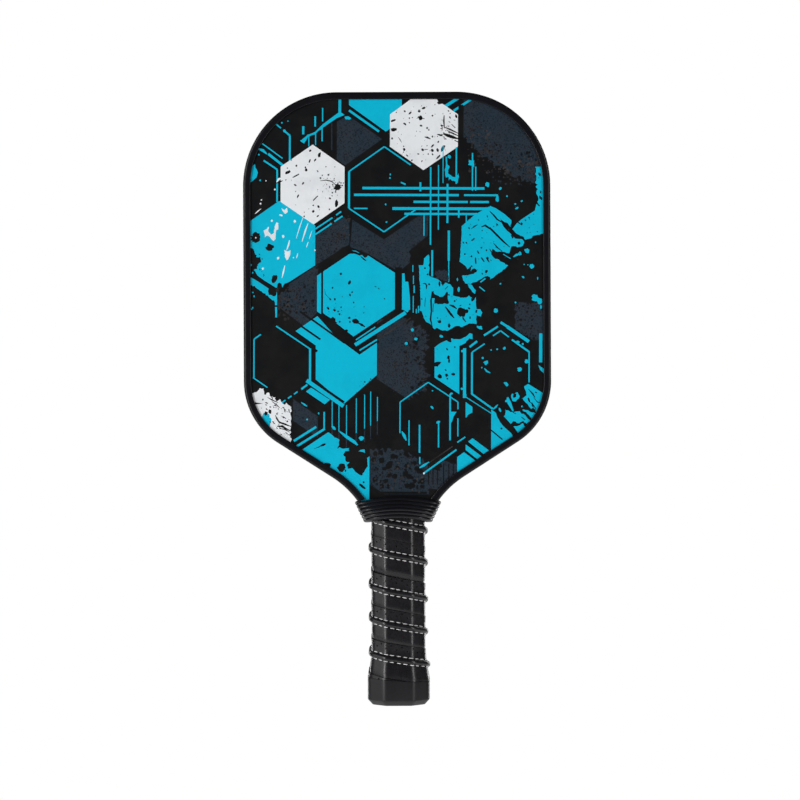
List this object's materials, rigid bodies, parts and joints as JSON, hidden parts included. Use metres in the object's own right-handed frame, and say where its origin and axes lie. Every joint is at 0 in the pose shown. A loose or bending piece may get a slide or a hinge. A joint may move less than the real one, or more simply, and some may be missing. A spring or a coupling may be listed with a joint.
{
  "type": "pickleball paddle",
  "caption": "Flat rounded-rectangle hitting head with an edge guard, tapering at the throat into a short octagonal handle with a wound padded grip, ridged collar and flared butt cap.",
  "frame": {"origin": "middle of the butt cap's flat bottom face", "axes": "+Z from the butt to the crown of the head, -Y out of the front face, +X to the right seen from the front"},
  "size_m": [0.204, 0.0378, 0.4064],
  "materials": {
    "core_polymer": "translucent natural polymer, unpainted",
    "bond_film": "cured adhesive film",
    "face_composite": "satin composite skin printed with a hexagon and splatter pattern",
    "guard_plastic": "smooth semi-gloss black moulding",
    "pallet_foam": "moulded rigid foam",
    "cap_plastic": "satin black moulding",
    "staple_steel": "plain steel wire",
    "grip_leather": "black perforated synthetic leather with a soft sheen",
    "seam_thread": "white sewing thread",
    "tape_vinyl": "black vinyl tape",
    "collar_rubber": "glossy black rubber"
  },
  "bodies": {
    "root": {"honeycomb_core": "core_polymer", "front_bond_film": "bond_film", "back_bond_film": "bond_film", "front_face_sheet": "face_composite", "back_face_sheet": "face_composite", "edge_guard": "guard_plastic", "handle_pallet_front": "pallet_foam", "handle_pallet_back": "pallet_foam", "butt_cap": "cap_plastic", "butt_cap_staple_front": "staple_steel", "butt_cap_staple_back": "staple_steel", "grip_wrap": "grip_leather", "grip_rib_cord": "grip_leather", "grip_stitch_upper": "seam_thread", "grip_stitch_lower": "seam_thread", "grip_finishing_tape": "tape_vinyl", "grip_collar": "collar_rubber"}
  },
  "joints": []
}
